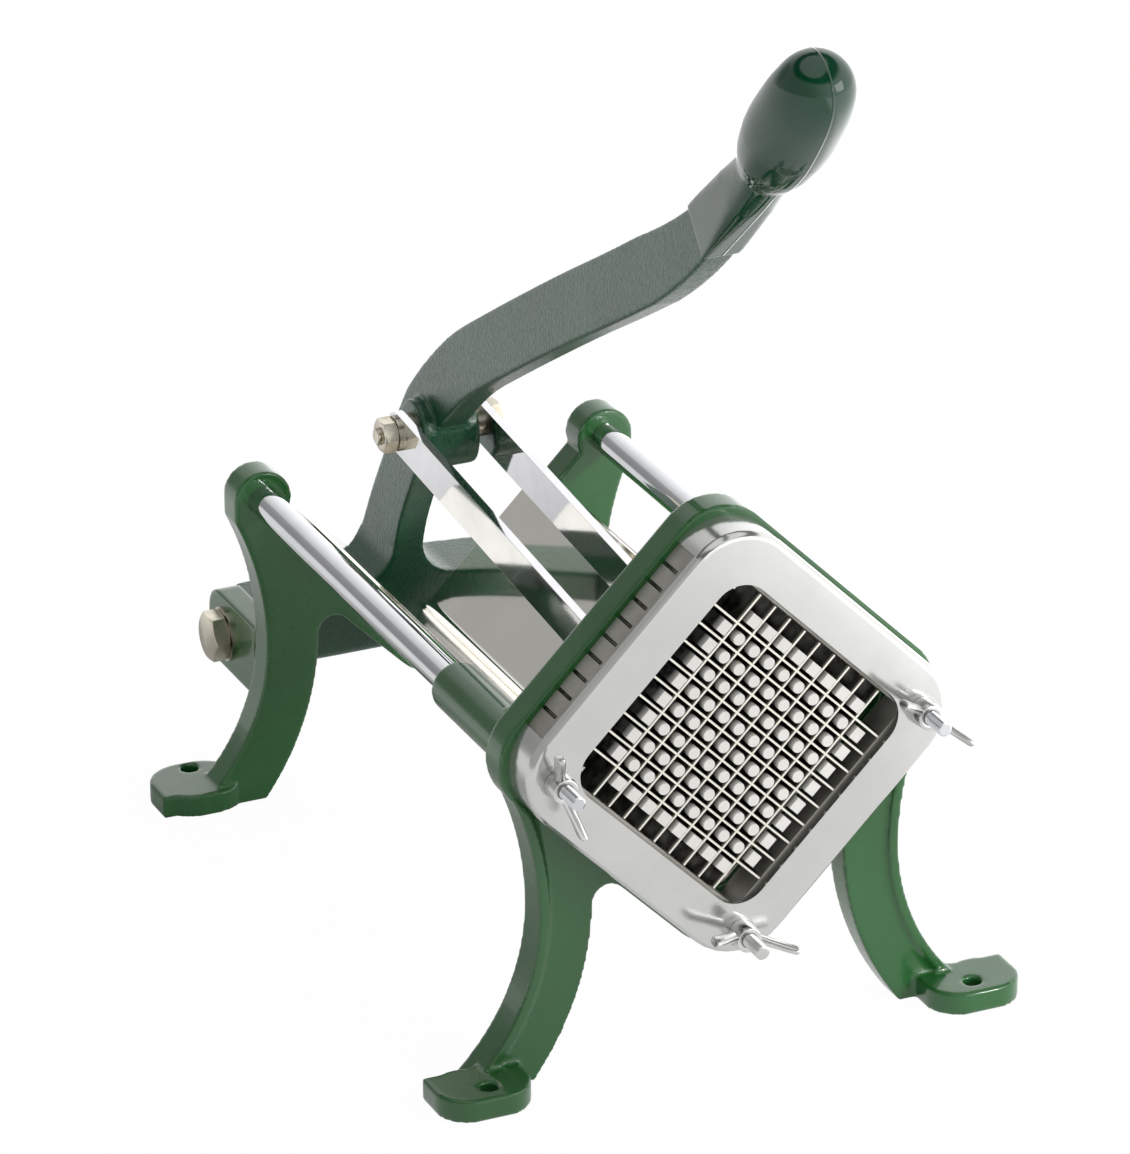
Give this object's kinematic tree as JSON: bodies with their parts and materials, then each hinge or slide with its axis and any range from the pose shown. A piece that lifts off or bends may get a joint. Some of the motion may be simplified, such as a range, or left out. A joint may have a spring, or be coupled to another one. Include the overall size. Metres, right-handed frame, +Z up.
{
  "type": "french fry cutter",
  "caption": "Lever-operated french fry cutter: a hand lever and two links push a pegged block along guide rods through a crossed blade grid in a V trough on four feet.",
  "frame": {"origin": "on the table, in the middle of the four foot holes", "axes": "+X to the right seen from the blades, +Y to the rear along the guide rods, +Z up"},
  "size_m": [0.2676, 0.4661, 0.4693],
  "materials": {
    "green_enamel": "gloss",
    "lever_enamel": "satin hammered",
    "chrome_rod": "polished",
    "chrome_bar": "polished",
    "zinc_steel": "bright zinc",
    "bolt_steel": "bright",
    "polished_sheet": "polished",
    "holder_metal": "satin",
    "blade_steel": "ground edges",
    "polished_cover": "polished",
    "block_plastic": "satin",
    "grip_vinyl": "gloss"
  },
  "bodies": {
    "root": {"front_frame": "green_enamel", "rear_frame": "green_enamel", "guide_rod_left": "chrome_rod", "guide_rod_right": "chrome_rod", "trough": "polished_sheet", "blade_holder": "holder_metal", "blades_rising": "blade_steel", "blades_falling": "blade_steel", "cover_plate": "polished_cover", "low_stud": "zinc_steel", "cover_washers": "zinc_steel", "pivot_bolt": "bolt_steel", "pivot_nut": "bolt_steel", "pivot_washers": "bolt_steel"},
    "lever": {"lever": "lever_enamel", "grip": "grip_vinyl", "hub_bolt": "bolt_steel", "hub_nut": "bolt_steel", "hub_washers": "bolt_steel", "hub_spacers": "bolt_steel"},
    "links": {"link_left": "chrome_bar", "link_right": "chrome_bar", "link_pin": "bolt_steel", "link_pin_nut": "bolt_steel", "link_pin_washers": "bolt_steel", "link_pin_spacers": "bolt_steel"},
    "pusher": {"pusher_carriage": "green_enamel", "pusher_block": "block_plastic", "block_screws": "zinc_steel"},
    "wing_left": {"wing_nut_left": "zinc_steel"},
    "wing_right": {"wing_nut_right": "zinc_steel"},
    "wing_low": {"wing_nut_low": "zinc_steel"}
  },
  "joints": [
    {"name": "lever_swing", "type": "hinge", "parent": "root", "child": "lever", "pos_m": [0, 0.193, 0.059], "axis": [-1, 0, 0], "range_deg": [0, 62]},
    {"name": "link_fold", "type": "hinge", "parent": "lever", "child": "links", "pos_m": [0, 0.136, 0.168], "axis": [-1, 0, 0], "range_deg": [-60.5, 0]},
    {"name": "carriage_slide", "type": "slide", "parent": "root", "child": "pusher", "axis": [0, 1, 0], "range_m": [0, 0.1262]},
    {"name": "wing_left_turn", "type": "hinge", "parent": "root", "child": "wing_left", "pos_m": [-0.0825, -0.172, 0.145], "axis": [0, -1, 0], "continuous": true},
    {"name": "wing_right_turn", "type": "hinge", "parent": "root", "child": "wing_right", "pos_m": [0.0825, -0.172, 0.145], "axis": [0, -1, 0], "continuous": true},
    {"name": "wing_low_turn", "type": "hinge", "parent": "root", "child": "wing_low", "pos_m": [0, -0.172, 0.06], "axis": [0, -1, 0], "continuous": true}
  ],
  "couplings": [
    {"joint": "link_fold", "follows": "lever_swing", "ratio": -0.97186},
    {"joint": "carriage_slide", "follows": "lever_swing", "m_per_rad": 0.11634}
  ]
}
